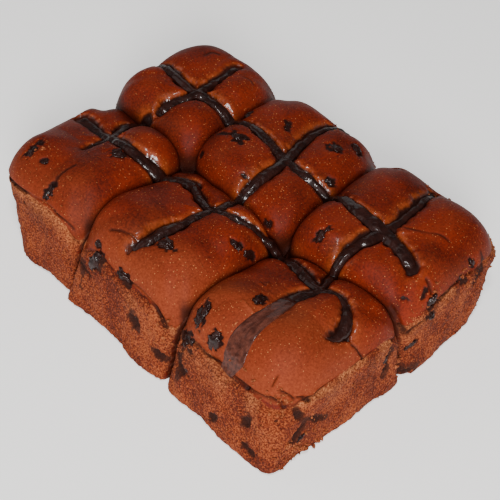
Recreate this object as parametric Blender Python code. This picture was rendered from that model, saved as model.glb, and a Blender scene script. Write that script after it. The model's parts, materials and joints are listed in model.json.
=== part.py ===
"""A batch of six chocolate hot cross buns, which joined as they baked, with piped chocolate crosses.

The batch lies on the XY plane. X runs along its three buns, Y across its two rows, and Z points up.
The origin is under the middle of the batch. The sizes below are in millimetres, and the meshes in metres.
"""

import collections
import math

import bmesh
import bpy
from mathutils import Vector

MM = 0.001

# The plan of the batch: where the corners of its buns lie, from left to right.
FRONT_CORNERS = ((-106, -73), (-40, -73), (34, -76), (104, -77))
MIDDLE_CORNERS = ((-112, 8), (-42, 2), (34, -7), (107, 4))
BACK_CORNERS = ((-116, 82), (-49, 83), (24, 84), (104, 82))
PLAN = (FRONT_CORNERS, MIDDLE_CORNERS, BACK_CORNERS)
ORIGIN = Vector((-2.23, -0.78, 0.0))  # the point of the plan that is made the origin

# A bun's place in the plan, the heights of its four cushions (front left, front right, back left, back right),
# and how far its base stands out past its rim on each free side. Its corner says how square the corner of
# the batch is, at the rim and at the base, as the power of a superellipse.
Bun = collections.namedtuple("Bun", "column row crests flare corner")

BUNS = {
    "bun_front_left": Bun(0, 0, (52, 53, 46, 57), {"left": -9, "front": 6}, (4.2, 2.1)),
    "bun_front_middle": Bun(1, 0, (56, 56, 49, 59), {"front": 10}, None),
    "bun_front_right": Bun(2, 0, (55, 56, 49, 52), {"right": 5, "front": 11}, (4.0, 18.0)),
    "bun_back_left": Bun(0, 1, (58, 57, 57, 56), {"left": 1, "back": 2}, (3.5, 5.0)),
    "bun_back_middle": Bun(1, 1, (59, 56, 54, 53), {"back": 2}, None),
    "bun_back_right": Bun(2, 1, (60, 56, 55, 53), {"right": 5, "back": 2}, (5.5, 2.4)),
}

# The dome of a bun and the wall below it.
RIM_HEIGHT = 35.5  # where a bun's crust ends, halfway along a side
JOINED_RIM_HEIGHT = 37.0  # where two buns part, halfway along the side that they share
DIP_AT_CORNER = 4.0  # how far the rim drops at a corner of the batch
DIP_AT_SEAM = 8.0  # the same where two buns meet at the outer wall
DIP_INSIDE = 5.0  # the same where four buns meet
SEAM_CORNER = 8.0  # how square a bun is where it meets others, as the power of a superellipse
BASE_CORNER = 12.0  # the same at the base
DOME_POWER = 3.2  # of the superellipse that the dome is in section
FULLNESS = {"left": 0.975, "right": 0.975, "front": 0.975, "back": 0.99}  # at 1 a dome meets its rim upright
CUSHION_BLEND = 1.0  # how much of a bun's half width it takes to go from one cushion's height to the next
WALL_LEVELS = (0.15, 0.5, 0.92, 1.0)  # shares of the way down the wall
HEEL = 2.5  # how far the bottom edge is rounded in
JOINT_GAP = 0.3  # what the solids of two joined buns keep between them
TOP_CELLS = 14  # faces along each side of a dome

# The piped chocolate.
PIPE_WIDTH = 7.0
PIPE_HEIGHT = 5.0
PIPE_SIDES = 8
PIPE_STEP = 8.0  # between the rings of a line
PIPE_TIP = 2.2  # how far the tip of a line reaches past its last ring
PIPE_RISE = 0.7  # how far the middle of a line lies above the bottom of its furrow
CHANNEL_GAP = 0.4  # between a line and the channel that it lies in
FURROW_DEPTH = 5.0  # how far the crust dips towards a line
FURROW_WIDTH = 9.0
BRIDGE_START = 0.93  # how far out on a dome, from 0 to 1, a line stops following it and runs on level

CRUST_COLOUR = (0.24, 0.045, 0.012, 1.0)
CHOCOLATE_COLOUR = (0.022, 0.009, 0.008, 1.0)

# Each line's route in plan. The first two run along the batch, and the others across it.
ROUTES = {
    "line_along_back": (
        (-108, 44), (-90, 38), (-71, 36), (-45, 38), (-12, 34), (13, 31),
        (30, 33), (50, 30), (68, 28), (82, 26), (93, 22)
    ),
    "line_along_front": (
        (-105, -15), (-78, -20), (-58, -22), (-45, -19), (-28, -11), (-10, -18), (3, -23), (18, -17),
        (34, -9), (55, -15), (70, -18), (80, -15), (91, -19), (97, -27), (97, -36)
    ),
    "line_across_back_left": ((-76, 70), (-71, 36), (-75, 18), (-74, 9)),
    "line_across_front_left": ((-79, 6), (-82, -4), (-76, -20), (-78, -36)),
    "line_across_middle": (
        (2, 79), (-8, 75), (-7, 52), (-1, 30), (2, 6), (1, -3), (4, -16), (-1, -34), (-2, -50), (-5, -63)
    ),
    "line_across_right": ((63, 74), (68, 34), (65, 8), (66, -4), (70, -18), (66, -40), (66, -62), (69, -74)),
}


def clear_scene():
    for thing in list(bpy.data.objects):
        bpy.data.objects.remove(thing)


def mix(a, b, share):
    return a + (b - a) * share


def smooth(share):
    share = max(0.0, min(1.0, share))
    return share * share * (3 - 2 * share)


def in_metres(point):
    return (point - ORIGIN) * MM


def material(name, colour, roughness):
    made = bpy.data.materials.new(name)
    made.use_nodes = True
    shader = made.node_tree.nodes["Principled BSDF"]
    shader.inputs["Base Color"].default_value = colour
    shader.inputs["Roughness"].default_value = roughness
    shader.inputs["Metallic"].default_value = 0.0
    made.diffuse_color = colour
    return made


def link(name, mesh, look):
    thing = bpy.data.objects.new(name, mesh)
    bpy.context.scene.collection.objects.link(thing)
    mesh.materials.append(look)
    mesh.shade_smooth()
    return thing


def sides(u, v):
    """The sides of a bun that (u, v) is nearer to, along X and along Y."""
    return ("right" if u > 0 else "left"), ("back" if v > 0 else "front")


def squareness(bun, u, v, down=0.0):
    """Power of the superellipse round the corner nearest to (u, v), at a share of the way down the wall."""
    if all(side in bun.flare for side in sides(u, v)):
        return mix(*bun.corner, down)
    return mix(SEAM_CORNER, BASE_CORNER, down)


def how_far_out(bun, u, v, down=0.0):
    """0 at the middle of a bun and 1 on its outline."""
    power = squareness(bun, u, v, down)
    return (abs(u) ** power + abs(v) ** power) ** (1 / power)


def bun_corner(bun, step_x, step_y, outward):
    """One of a bun's corners in plan: steps are 0 at its left or front and 1 at its right or back.

    A free side is moved outward, and along the seam where it meets a joined side. That side draws back by
    half the gap.
    """
    corner = Vector(PLAN[bun.row + step_y][bun.column + step_x])
    along_x = corner - Vector(PLAN[bun.row + step_y][bun.column + 1 - step_x])
    along_y = corner - Vector(PLAN[bun.row + 1 - step_y][bun.column + step_x])
    side_x, side_y = sides(step_x, step_y)
    free_x, free_y = side_x in bun.flare, side_y in bun.flare
    along_x = along_x / abs(along_x.x) if free_x and not free_y else Vector((2 * step_x - 1, 0))
    along_y = along_y / abs(along_y.y) if free_y and not free_x else Vector((0, 2 * step_y - 1))
    shift_x = outward.get(side_x, 0) if free_x else -JOINT_GAP / 2
    shift_y = outward.get(side_y, 0) if free_y else -JOINT_GAP / 2
    return corner + along_x * shift_x + along_y * shift_y


def plan_spot(bun, u, v, outward=None):
    """Plan position of (u, v), which are -1 to 1 across a bun, with each free side moved outward."""
    spot = Vector((0, 0))
    for step_x, step_y in ((0, 0), (1, 0), (0, 1), (1, 1)):
        share_x = (1 + u) / 2 if step_x else (1 - u) / 2
        share_y = (1 + v) / 2 if step_y else (1 - v) / 2
        spot += bun_corner(bun, step_x, step_y, outward or {}) * share_x * share_y
    return spot


def locate(bun, x, y):
    """The (u, v) whose plan position is (x, y), found in a few steps because buns are nearly rectangles."""
    size_x = plan_spot(bun, 1, 0).x - plan_spot(bun, -1, 0).x
    size_y = plan_spot(bun, 0, 1).y - plan_spot(bun, 0, -1).y
    u = v = 0.0
    for _ in range(6):
        miss = Vector((x, y)) - plan_spot(bun, u, v)
        u += 2 * miss.x / size_x
        v += 2 * miss.y / size_y
    return u, v


def rim_shape(bun, u, v):
    """In the direction of (u, v): the height of the rim, and how fully the dome comes down to it."""
    power = squareness(bun, u, v)
    total = abs(u) ** power + abs(v) ** power
    along_x = abs(u) ** power / total if total else 0.5
    side_x, side_y = sides(u, v)
    free_x, free_y = side_x in bun.flare, side_y in bun.flare
    free = mix(free_y, free_x, along_x)
    dip = (DIP_INSIDE, DIP_AT_SEAM, DIP_AT_CORNER)[free_x + free_y]
    height = mix(JOINED_RIM_HEIGHT, RIM_HEIGHT, free) - dip * 4 * along_x * (1 - along_x)
    fullness_x = FULLNESS[side_x] if free_x else 1.0
    fullness_y = FULLNESS[side_y] if free_y else 1.0
    return height, mix(fullness_y, fullness_x, along_x)


def crest_height(bun, u, v):
    """Height that the dome would reach at (u, v), which goes smoothly from one cushion's to the next."""
    share_x = smooth(0.5 + u / CUSHION_BLEND)
    share_y = smooth(0.5 + v / CUSHION_BLEND)
    front_left, front_right, back_left, back_right = bun.crests
    return mix(mix(front_left, front_right, share_x), mix(back_left, back_right, share_x), share_y)


def dome_height(bun, u, v):
    rim, fullness = rim_shape(bun, u, v)
    reach = min(1.0, how_far_out(bun, u, v)) * fullness
    above = (1 - reach**DOME_POWER) ** (1 / DOME_POWER)
    above_at_rim = (1 - fullness**DOME_POWER) ** (1 / DOME_POWER)
    return mix(rim, crest_height(bun, u, v), (above - above_at_rim) / (1 - above_at_rim))


def smooth_route(points, step):
    """Points about a step apart along the smooth curve through the given ones, in plan."""
    spots = [Vector(point) for point in points]
    spots = [2 * spots[0] - spots[1]] + spots + [2 * spots[-1] - spots[-2]]
    fine = []
    pieces = 24
    for before, start, end, after in zip(spots, spots[1:], spots[2:], spots[3:]):
        for k in range(pieces):
            t = k / pieces
            bend = 2 * before - 5 * start + 4 * end - after
            twist = 3 * start - before - 3 * end + after
            fine.append(start + 0.5 * t * (end - before) + 0.5 * t * t * bend + 0.5 * t**3 * twist)
    fine.append(spots[-2])
    length = sum((b - a).length for a, b in zip(fine, fine[1:]))
    count = round(length / step)
    spread, travelled = [fine[0]], 0.0
    for a, b in zip(fine, fine[1:]):
        stretch = (b - a).length
        wanted = length * len(spread) / count
        if travelled + stretch >= wanted and len(spread) < count:
            spread.append(a.lerp(b, (wanted - travelled) / stretch))
        travelled += stretch
    return spread + [fine[-1]]


PATHS = {name: smooth_route(points, PIPE_STEP) for name, points in ROUTES.items()}


def distance_to_piping(spot):
    """Distance in plan to the nearest line."""
    nearest = math.inf
    for path in PATHS.values():
        for a, b in zip(path, path[1:]):
            share = max(0.0, min(1.0, (spot - a).dot(b - a) / (b - a).length_squared))
            nearest = min(nearest, (spot - a.lerp(b, share)).length)
    return nearest


def top_point(bun, u, v):
    """Where a point of the unit square goes on a bun's crust, which dips towards the piped lines."""
    ring = max(abs(u), abs(v))
    # The rings of points lie closer towards the rim, where the dome is steepest.
    spread = math.sin(ring * math.pi / 2) ** 0.8 / how_far_out(bun, u, v) if ring else 0
    u, v = u * spread, v * spread
    spot = plan_spot(bun, u, v)
    dome = dome_height(bun, u, v)
    furrow = FURROW_DEPTH * math.exp(-((distance_to_piping(spot) / FURROW_WIDTH) ** 2))
    return Vector((spot.x, spot.y, dome - furrow))


def wall_point(bun, u, v, level):
    """Where a point of the unit square's edge goes on a bun's wall, which stands out below its rim."""
    down = WALL_LEVELS[level - 1]
    heel = HEEL if level == len(WALL_LEVELS) else 0.0
    outward = {side: flare * down**0.7 - heel for side, flare in bun.flare.items()}
    out = how_far_out(bun, u, v, down)
    spot = plan_spot(bun, u / out, v / out, outward)
    return Vector((spot.x, spot.y, top_point(bun, u, v).z * (1 - down)))


def bun_solid(name, bun, look):
    """A gridded square, its edge drawn down in levels and closed by a flat base, shaped point by point."""
    block = bmesh.new()
    bmesh.ops.create_grid(block, x_segments=TOP_CELLS, y_segments=TOP_CELLS, size=1)
    rim = [edge for edge in block.edges if edge.is_boundary]
    for _ in WALL_LEVELS:
        drawn = bmesh.ops.extrude_edge_only(block, edges=rim)["geom"]
        rim = [part for part in drawn if isinstance(part, bmesh.types.BMEdge)]
        lower = [part for part in drawn if isinstance(part, bmesh.types.BMVert)]
        bmesh.ops.translate(block, verts=lower, vec=(0, 0, -1))
    bmesh.ops.edgeloop_fill(block, edges=rim)
    for vert in block.verts:
        u, v, level = vert.co.x, vert.co.y, round(-vert.co.z)
        vert.co = in_metres(wall_point(bun, u, v, level) if level else top_point(bun, u, v))
    bmesh.ops.recalc_face_normals(block, faces=block.faces)
    mesh = bpy.data.meshes.new(name)
    block.to_mesh(mesh)
    block.free()
    return link(name, mesh, look)


def line_height(spot):
    """Height of a line over a point of the plan. Between buns and past their edges it runs on level."""
    places = []
    for bun in BUNS.values():
        u, v = locate(bun, spot.x, spot.y)
        places.append((how_far_out(bun, u, v), u, v, bun))
    out, u, v, bun = min(places)
    share = min(1.0, BRIDGE_START / out)
    return dome_height(bun, u * share, v * share) - FURROW_DEPTH + PIPE_RISE


def piped_line(name, path, grow, look):
    """An oval tube along a route, with blunt tapered ends. grow is added all round it."""
    heights = [line_height(spot) for spot in path]
    padded = [heights[0]] + heights + [heights[-1]]
    eased = [0.25 * a + 0.5 * b + 0.25 * c for a, b, c in zip(padded, padded[1:], padded[2:])]
    spine = [Vector((spot.x, spot.y, height)) for spot, height in zip(path, eased)]
    first, last = (spine[0] - spine[1]).normalized(), (spine[-1] - spine[-2]).normalized()
    spine = [spine[0] + first * (PIPE_TIP + grow)] + spine + [spine[-1] + last * (PIPE_TIP + grow)]
    tube = bmesh.new()
    rings = []
    for k, point in enumerate(spine):
        ahead = spine[min(k + 1, len(spine) - 1)] - spine[max(k - 1, 0)]
        side = ahead.cross(Vector((0, 0, 1))).normalized()
        up = side.cross(ahead).normalized()
        share = 1.0 if 0 < k < len(spine) - 1 else 0.45
        ring = []
        for n in range(PIPE_SIDES):
            turn = 2 * math.pi * (n + 0.5) / PIPE_SIDES
            across = side * math.cos(turn) * (PIPE_WIDTH / 2 * share + grow)
            upward = up * math.sin(turn) * (PIPE_HEIGHT / 2 * share + grow)
            ring.append(tube.verts.new(in_metres(point + across + upward)))
        rings.append(ring)
    for ring, following in zip(rings, rings[1:]):
        for n in range(PIPE_SIDES):
            m = (n + 1) % PIPE_SIDES
            tube.faces.new((ring[n], ring[m], following[m], following[n]))
    tube.faces.new(rings[0])
    tube.faces.new(rings[-1])
    bmesh.ops.recalc_face_normals(tube, faces=tube.faces)
    mesh = bpy.data.meshes.new(name)
    tube.to_mesh(mesh)
    tube.free()
    return link(name, mesh, look)


def add_boolean(thing, tool, operation):
    """The tool is left in the file to cut or join with, and isn't rendered."""
    boolean = thing.modifiers.new(tool.name, "BOOLEAN")
    boolean.operation = operation
    boolean.solver = "EXACT"
    boolean.use_self = True
    boolean.object = tool
    tool.hide_render = True
    tool.display_type = "WIRE"


def piped_lattice(name, grow, look):
    """The crosses, as one piece because the lines run over each other and from bun to bun."""
    lattice, *lines = [piped_line(f"{name}_{line}", path, grow, look) for line, path in PATHS.items()]
    lattice.name = name
    for line in lines:
        add_boolean(lattice, line, "UNION")
    return lattice


def main():
    clear_scene()
    crust = material("baked_chocolate_dough", CRUST_COLOUR, 0.5)
    chocolate = material("piped_chocolate", CHOCOLATE_COLOUR, 0.35)
    piped_lattice("piped_crosses", 0.0, chocolate)
    channels = piped_lattice("channel_cutter", CHANNEL_GAP, chocolate)
    for name, bun in BUNS.items():
        add_boolean(bun_solid(name, bun, crust), channels, "DIFFERENCE")


main()
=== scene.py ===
"""A pull-apart batch of chocolate hot cross buns: glazed crusts, torn crumb, piped crosses, chips and crumbs.

The batch stands on the XY plane, centred on the origin. X runs along its rows and Z points up.
Sizes in the tables are in millimetres. The meshes are in metres.
"""

import collections
import itertools
import json
import math

import bpy
import numpy as np
from mathutils import Matrix, Vector
from mathutils.bvhtree import BVHTree

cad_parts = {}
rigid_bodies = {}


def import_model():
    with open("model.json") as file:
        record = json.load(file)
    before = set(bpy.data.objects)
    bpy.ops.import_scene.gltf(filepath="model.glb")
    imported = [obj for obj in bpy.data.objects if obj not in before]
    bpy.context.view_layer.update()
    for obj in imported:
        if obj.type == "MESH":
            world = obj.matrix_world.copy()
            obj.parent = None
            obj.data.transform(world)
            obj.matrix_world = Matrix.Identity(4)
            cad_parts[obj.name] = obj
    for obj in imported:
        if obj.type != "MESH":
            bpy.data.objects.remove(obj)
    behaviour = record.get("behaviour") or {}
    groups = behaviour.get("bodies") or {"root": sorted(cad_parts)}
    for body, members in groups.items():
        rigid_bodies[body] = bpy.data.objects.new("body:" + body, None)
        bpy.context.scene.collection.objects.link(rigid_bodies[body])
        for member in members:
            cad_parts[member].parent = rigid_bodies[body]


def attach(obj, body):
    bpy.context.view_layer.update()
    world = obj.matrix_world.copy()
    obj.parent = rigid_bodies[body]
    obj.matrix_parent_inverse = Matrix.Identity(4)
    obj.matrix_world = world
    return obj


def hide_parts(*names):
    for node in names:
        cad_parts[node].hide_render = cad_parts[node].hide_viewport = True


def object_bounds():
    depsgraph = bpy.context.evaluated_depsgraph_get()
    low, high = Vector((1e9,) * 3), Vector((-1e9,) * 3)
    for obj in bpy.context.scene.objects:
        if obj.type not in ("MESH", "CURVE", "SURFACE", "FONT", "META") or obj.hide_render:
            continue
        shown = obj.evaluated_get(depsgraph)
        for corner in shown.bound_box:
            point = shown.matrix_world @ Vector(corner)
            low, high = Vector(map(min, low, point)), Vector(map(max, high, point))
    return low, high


bl_info = {
    "name": "Chocolate hot cross buns",
    "version": (1, 0, 0),
    "blender": (4, 5, 0),
    "location": "View3D > Sidebar > Buns",
    "description": "Bakes a pull-apart batch of buns, pipes their crosses and presses in the chips",
    "category": "Mesh",
}

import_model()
CAD_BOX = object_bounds()

MM = 0.001

# The plan of the batch: where the corners of its buns lie, from left to right. ORIGIN is made the origin.
PLAN = np.array((
    ((-106, -73), (-40, -73), (34, -76), (104, -77)),
    ((-112, 8), (-42, 2), (34, -7), (107, 4)),
    ((-116, 82), (-49, 83), (24, 84), (104, 82)),
), float)
ORIGIN = np.array((-2.23, -0.78))

# Crests are the heights of a bun's four cushions: front left, front right, back left and back right. Flare is how
# far its base stands out past its rim on each free side. Corner is how square the batch's corner is, at the
# rim and at the base, and seams how square the bun's base is where it meets others at the outer wall. Rim is how
# high the crust ends on the free sides.
Bun = collections.namedtuple("Bun", "column row crests flare corner seams rim")
BUNS = {
    "bun_front_left": Bun(0, 0, (52, 53, 46, 57), {"left": -9, "front": 6}, (4.2, 2.1), 40, 40.5),
    "bun_front_middle": Bun(1, 0, (56, 56, 49, 59), {"front": 10}, None, 22, 38.0),
    "bun_front_right": Bun(2, 0, (55, 56, 49, 52), {"right": 5, "front": 11}, (4.0, 18.0), 9, 35.0),
    "bun_back_left": Bun(0, 1, (58, 57, 57, 56), {"left": 1, "back": 2}, (3.5, 5.0), 12, 37.0),
    "bun_back_middle": Bun(1, 1, (59, 56, 54, 53), {"back": 2}, None, 12, 37.0),
    "bun_back_right": Bun(2, 1, (60, 56, 55, 53), {"right": 5, "back": 2}, (5.5, 2.4), 9, 38.5),
}

JOINED_RIM_HEIGHT = 37.0
DIP_AT_CORNER = 4.0
DIP_AT_SEAM = 8.0
DIP_INSIDE = 6.5
SEAM_CORNER, INNER_CORNER = 8.0, 9.0
DOME_POWER = 3.2
FULLNESS = {"left": 0.96, "right": 0.96, "front": 0.955, "back": 0.985}
HEEL = 2.0
JOINT_GAP = 0.06
TOP_CELLS = 140
LIP_STEPS = (0.3, 0.6, 0.9, 1.3, 1.7, 2.2, 2.8, 3.4)  # how far below the rim the first rings of a wall lie
WALL_CELLS = 52
BRIDGE_START = 0.93
LINE_RISE = -0.4
PUFF = 1.2
FULL_HEIGHT, SOFT_LIMIT = 55.0, 2.3  # above this height the cushions swell less and less, up to the limit
STANDARD_WIDTH = 7.0

# The piped lines: where each point lies in plan, the line's width there and its thickness.
LINES = {
    "line_along_back": (
        (-109, 39.5, 4.5, 3.5), (-99, 39, 5.5, 4.5), (-90, 37, 6, 5), (-71, 35.5, 6.5, 5.5), (-45, 37.5, 7, 5.5),
        (-12, 33.3, 6.5, 5), (13, 31, 7, 5), (30, 33, 7, 5), (50, 29.8, 7.5, 5.5), (68, 28, 8.5, 6), (81, 25.6, 8.5, 6),
        (91, 22, 7.5, 4.5),
    ),
    "line_along_front": (
        (-105, -15, 5.5, 4), (-78, -20, 6.5, 5), (-58, -22, 6.5, 5), (-45, -19, 7, 5), (-28, -11, 7, 5),
        (-10, -18, 5.5, 5), (3, -23, 5, 4.5), (18.6, -18, 5.5, 5), (34.3, -10.6, 5.5, 4.5), (55, -15, 6, 4.5),
        (70, -18, 6, 4.5), (79.5, -16, 4.5, 4.5), (89, -19.8, 6.5, 5.5), (95, -28, 7.5, 5.5), (95.5, -35, 5, 4.5),
        (94, -39, 2, 3.8),
    ),
    "line_across_back_left": ((-73, 69, 5, 4), (-71, 36, 6, 5), (-75, 20, 6.5, 5), (-74.5, 13, 6, 5)),
    "line_across_front_left": ((-79, 6, 5.5, 4.5), (-82, -4, 6.5, 5), (-76, -20, 6, 4.5), (-77, -29, 5.5, 4.5), (-77, -35, 4, 4)),
    "line_across_middle": (
        (2, 79, 5, 4), (-8, 75, 6, 4.5), (-7, 52, 6.5, 5), (-1, 30, 6.5, 5.5), (1.6, 6, 7, 5.5), (1, -3, 6, 5),
        (4, -16, 5.5, 5), (-1, -34, 6.5, 6), (-2, -50, 8, 6.5), (-5, -62, 5.5, 5), (-8, -67, 4.5, 4),
    ),
    "line_across_right": (
        (63, 74, 6, 4.5), (68, 34, 7, 5), (65, 8, 7, 5), (66, -4, 6, 5), (70, -18, 5.5, 4.5), (67, -30, 6.5, 4.5),
        (67, -38, 8, 3.6), (69.5, -50, 9.5, 2.4), (69, -61, 11, 2), (69, -69, 12.5, 2), (71, -77.6, 12, 2),
    ),
}


SWELLING, SWELLING_SIZE = 0.8, 26.0  # how far the dough moves where it baked unevenly, and how far apart


def mix(a, b, share):
    return a + (b - a) * share


def smooth(share):
    share = np.clip(share, 0.0, 1.0)
    return share * share * (3 - 2 * share)


def scatter_number(cells, seed):
    """A fixed number from -1 to 1 for each place on a lattice."""
    mixed = cells[..., 0] * 374761393 + cells[..., 1] * 668265263 + cells[..., 2] * 1103515245 + seed * 362437
    mixed = (mixed ^ (mixed >> 13)) * 1274126177
    return ((mixed ^ (mixed >> 16)) & 0xFFFF) / 32767.5 - 1


def clouds(points, size, seed=0):
    """Soft noise from about -1 to 1 over points in millimetres, whose lumps are about size apart."""
    places = points / size
    cells = np.floor(places).astype(np.int64)
    blend = smooth(places - cells)
    total = np.zeros(len(points))
    for corner in itertools.product((0, 1), repeat=3):
        weight = np.prod(np.where(corner, blend, 1 - blend), axis=1)
        total += weight * scatter_number(cells + corner, seed)
    return total * 1.6


# ---------------------------------------------------------------------------------------------- form of a bun


def sides(u, v):
    return np.where(u > 0, "right", "left"), np.where(v > 0, "back", "front")


def is_free(bun, side):
    return np.isin(side, list(bun.flare))


def squareness(bun, u, v, down=0.0):
    side_x, side_y = sides(u, v)
    free_x, free_y = is_free(bun, side_x), is_free(bun, side_y)
    batch_corner = mix(*bun.corner, down) if bun.corner else 0.0
    rim = np.where(free_x | free_y, SEAM_CORNER, INNER_CORNER)
    base = np.where(free_x | free_y, bun.seams, 200.0)
    return np.where(free_x & free_y, batch_corner, mix(rim, base, down))


def how_far_out(bun, u, v, down=0.0):
    """0 at the middle of a bun and 1 on its outline."""
    power = squareness(bun, u, v, down)
    return (np.abs(u) ** power + np.abs(v) ** power) ** (1 / power)


def bun_corner(bun, step_x, step_y, outward):
    """A bun's corner in plan. A free side moves outward, and along the seam where it meets a joined side."""
    corner = PLAN[bun.row + step_y, bun.column + step_x]
    along_x = corner - PLAN[bun.row + step_y, bun.column + 1 - step_x]
    along_y = corner - PLAN[bun.row + 1 - step_y, bun.column + step_x]
    side_x, side_y = ("left", "right")[step_x], ("front", "back")[step_y]
    free_x, free_y = side_x in bun.flare, side_y in bun.flare
    along_x = along_x / abs(along_x[0]) if free_x and not free_y else np.array((2 * step_x - 1.0, 0.0))
    along_y = along_y / abs(along_y[1]) if free_y and not free_x else np.array((0.0, 2 * step_y - 1.0))
    shift_x = outward.get(side_x, 0.0) if free_x else -JOINT_GAP / 2
    shift_y = outward.get(side_y, 0.0) if free_y else -JOINT_GAP / 2
    return corner + np.multiply.outer(shift_x, along_x) + np.multiply.outer(shift_y, along_y)


def plan_spot(bun, u, v, outward=None):
    """Plan position of (u, v), which are -1 to 1 across a bun."""
    spot = np.zeros(np.shape(u) + (2,))
    for step_x, step_y in itertools.product((0, 1), repeat=2):
        share_x = (1 + u) / 2 if step_x else (1 - u) / 2
        share_y = (1 + v) / 2 if step_y else (1 - v) / 2
        spot += bun_corner(bun, step_x, step_y, outward or {}) * (share_x * share_y)[..., None]
    return spot


def locate(bun, spots):
    """The (u, v) of plan positions."""
    zero, one = np.zeros(1), np.ones(1)
    size_x = (plan_spot(bun, one, zero) - plan_spot(bun, -one, zero))[0, 0]
    size_y = (plan_spot(bun, zero, one) - plan_spot(bun, zero, -one))[0, 1]
    u, v = np.zeros(len(spots)), np.zeros(len(spots))
    for _ in range(6):
        miss = spots - plan_spot(bun, u, v)
        u = u + 2 * miss[:, 0] / size_x
        v = v + 2 * miss[:, 1] / size_y
    return u, v


def rim_shape(bun, u, v):
    """In the direction of (u, v): the rim's height, how fully the dome meets it, and how free its side is."""
    power = squareness(bun, u, v)
    total = np.abs(u) ** power + np.abs(v) ** power
    along_x = np.where(total > 0, np.abs(u) ** power / np.where(total > 0, total, 1), 0.5)
    side_x, side_y = sides(u, v)
    free_x, free_y = is_free(bun, side_x), is_free(bun, side_y)
    free = mix(free_y * 1.0, free_x * 1.0, along_x)
    dip = np.array((DIP_INSIDE, DIP_AT_SEAM, DIP_AT_CORNER))[free_x * 1 + free_y * 1]
    height = mix(JOINED_RIM_HEIGHT, bun.rim, free) - dip * 4 * along_x * (1 - along_x)
    full_x = np.where(free_x, np.where(u > 0, FULLNESS["right"], FULLNESS["left"]), 1.0)
    full_y = np.where(free_y, np.where(v > 0, FULLNESS["back"], FULLNESS["front"]), 1.0)
    return height, mix(full_y, full_x, along_x), free


def crest_height(bun, u, v):
    share_x, share_y = smooth(0.5 + u), smooth(0.5 + v)
    front_left, front_right, back_left, back_right = bun.crests
    return mix(mix(front_left, front_right, share_x), mix(back_left, back_right, share_x), share_y)


def puff(u, v):
    """How far each cushion swells between the lines and the rim."""
    over_u, over_v = (np.clip(1 - (2 * np.abs(side) - 1) ** 2, 0, 1) for side in (u, v))
    return PUFF * over_u * over_v


def dome_height(bun, u, v):
    rim, fullness, _ = rim_shape(bun, u, v)
    reach = np.minimum(1.0, how_far_out(bun, u, v)) * fullness
    above = (1 - reach**DOME_POWER) ** (1 / DOME_POWER)
    above_at_rim = np.maximum(0.0, 1 - fullness**DOME_POWER) ** (1 / DOME_POWER)
    return mix(rim, crest_height(bun, u, v), (above - above_at_rim) / (1 - above_at_rim))


def ring_spread(ring):
    """How far out the rings of a dome lie, so that they are evenly spaced over the crust."""
    out = np.linspace(0, 1, 500)
    height = (1 - (out * 0.992) ** DOME_POWER) ** (1 / DOME_POWER)
    length = np.concatenate(([0.0], np.cumsum(np.hypot(np.diff(out) * 38, np.diff(height) * 20))))
    return np.interp(ring, length / length[-1], out)


# ------------------------------------------------------------------------------------------------- piped lines


def smooth_route(points, step):
    """Rows along the smooth curve through the given rows, about a step apart."""
    rows = np.array(points, float)
    rows = np.vstack((2 * rows[0] - rows[1], rows, 2 * rows[-1] - rows[-2]))
    fine = []
    for before, start, end, after in zip(rows, rows[1:], rows[2:], rows[3:]):
        for t in np.arange(0, 1, 1 / 40):
            bend = 2 * before - 5 * start + 4 * end - after
            twist = 3 * start - before - 3 * end + after
            fine.append(start + 0.5 * t * (end - before) + 0.5 * t * t * bend + 0.5 * t**3 * twist)
    fine = np.array(fine + [rows[-2]])
    travelled = np.concatenate(([0.0], np.cumsum(np.linalg.norm(np.diff(fine[:, :2], axis=0), axis=1))))
    wanted = np.linspace(0, travelled[-1], max(2, round(travelled[-1] / step) + 1))
    return np.stack([np.interp(wanted, travelled, column) for column in fine.T], axis=1)


ROUTES = {name: smooth_route(points, 1.0) for name, points in LINES.items()}


def piping_near(spots):
    """For places in plan: the distance to the nearest line, and that line's width and thickness there."""
    nearest = np.full(len(spots), 1e9)
    width, thickness = np.zeros(len(spots)), np.zeros(len(spots))
    for route in ROUTES.values():
        for row in route:
            distance = np.hypot(spots[:, 0] - row[0], spots[:, 1] - row[1])
            closer = distance < nearest
            nearest[closer] = distance[closer]
            width[closer], thickness[closer] = row[2], row[3]
    return nearest, width, thickness


def furrow(spots, depth):
    """How far the crust dips towards the piping, and how near that is, from 0 to 1."""
    distance, width, thickness = piping_near(spots)
    level = np.column_stack((spots, np.zeros(len(spots))))
    ragged = 0.7 * clouds(level, 6, 14) + 0.35 * clouds(level, 2.2, 15)
    away = np.maximum(0.0, distance + ragged - width / 2 + 0.2)
    steep = 1 - np.sqrt(1 - np.clip(1 - away / 3.4, 0, 1) ** 2)
    slope = np.clip(1 - away / 4.0, 0, 1) ** 2
    drop = depth * (0.45 * steep + 0.2 * slope + 0.35 * np.exp(-((away / 7.5) ** 2)))
    thick = smooth(thickness / 1.5 - 2)
    return drop * np.clip(thickness / 4.5 - 0.3, 0.1, 1.0), np.exp(-((away / 3.5) ** 2)) * thick, (1 - smooth(away)) * thick


def line_height(spots, thickness):
    """Height of the middle of a line over places in plan. Between buns and past their edges it runs on level."""
    reach = np.where(thickness < 3, 0.995, BRIDGE_START)
    best, height = np.full(len(spots), 1e9), np.zeros(len(spots))
    for bun in BUNS.values():
        u, v = locate(bun, spots)
        out = how_far_out(bun, u, v)
        share = np.minimum(1.0, reach / np.maximum(out, 1e-6))
        over = dome_height(bun, u * share, v * share) + puff(u * share, v * share)
        closer = out < best
        best[closer], height[closer] = out[closer], over[closer]
    return height


# ---------------------------------------------------------------------------------------------- mesh helpers


def deselect_all():
    if bpy.context.object and bpy.context.object.mode != "OBJECT":
        bpy.ops.object.mode_set(mode="OBJECT")
    bpy.ops.object.select_all(action="DESELECT")


def choose(piece):
    deselect_all()
    piece.select_set(True)
    bpy.context.view_layer.objects.active = piece


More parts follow.
